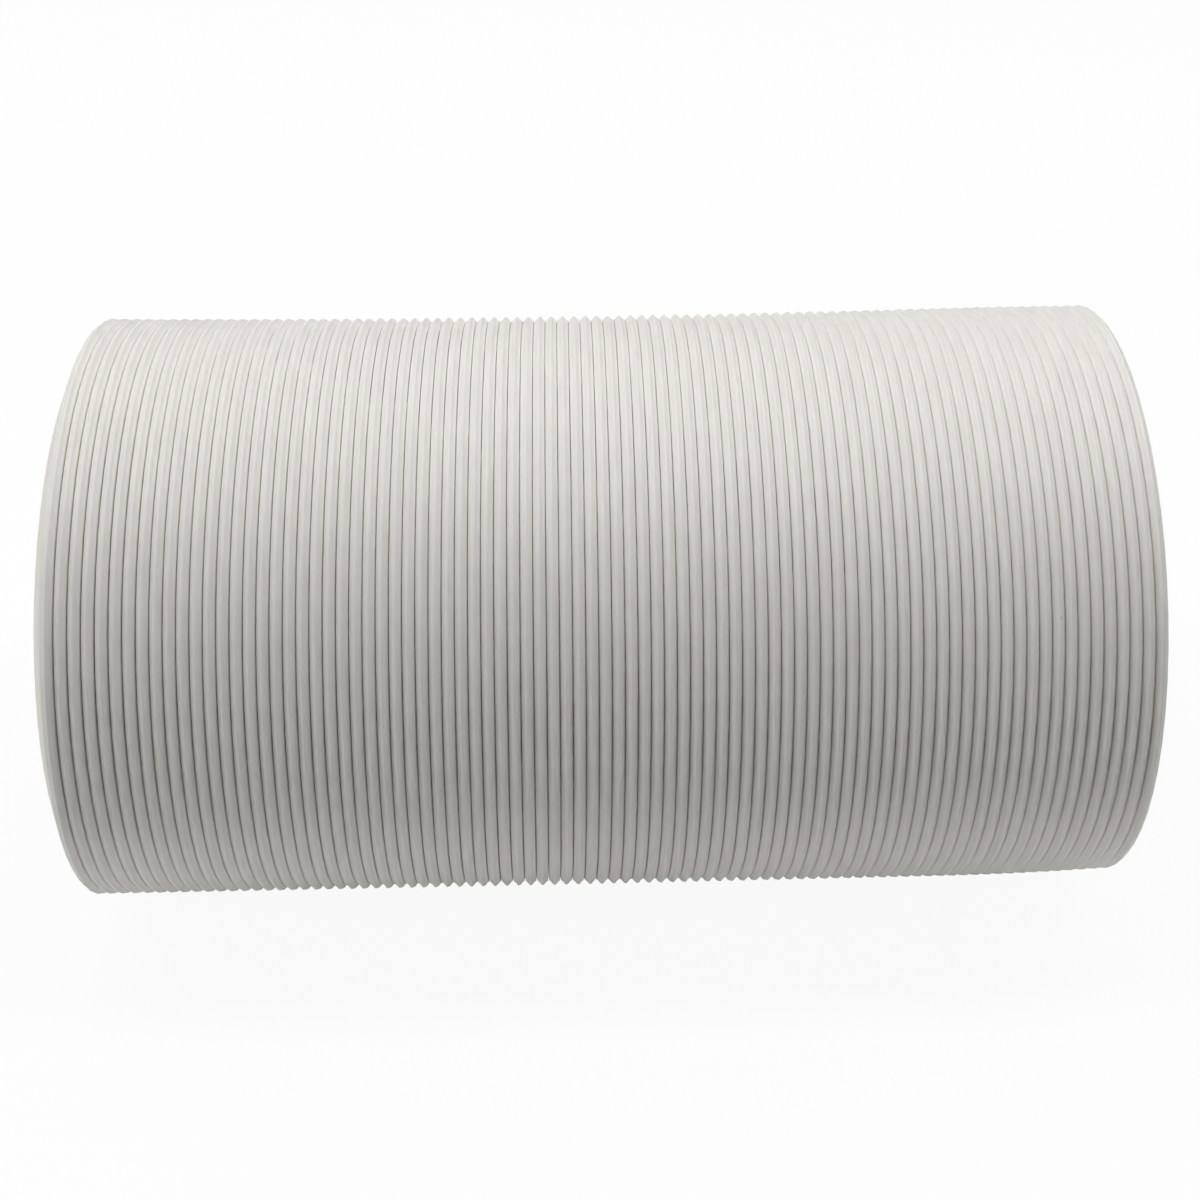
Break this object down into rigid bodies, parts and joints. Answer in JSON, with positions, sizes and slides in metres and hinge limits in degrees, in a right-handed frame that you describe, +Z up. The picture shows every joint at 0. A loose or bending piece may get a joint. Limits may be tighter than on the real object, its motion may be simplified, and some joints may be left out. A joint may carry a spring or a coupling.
{
  "type": "air conditioner exhaust hose",
  "caption": "Round pleated plastic exhaust hose, squeezed together for storage, with a clear bore from end to end.",
  "frame": {"origin": "on the floor, under the middle of the lying hose", "axes": "+X along the hose's axis towards the plain end, +Z up, -Y towards the side the picture shows"},
  "size_m": [0.2664, 0.15, 0.15],
  "materials": {
    "hose_plastic": "semi-matte, extruded"
  },
  "bodies": {
    "root": {"hose": "hose_plastic"}
  },
  "joints": []
}
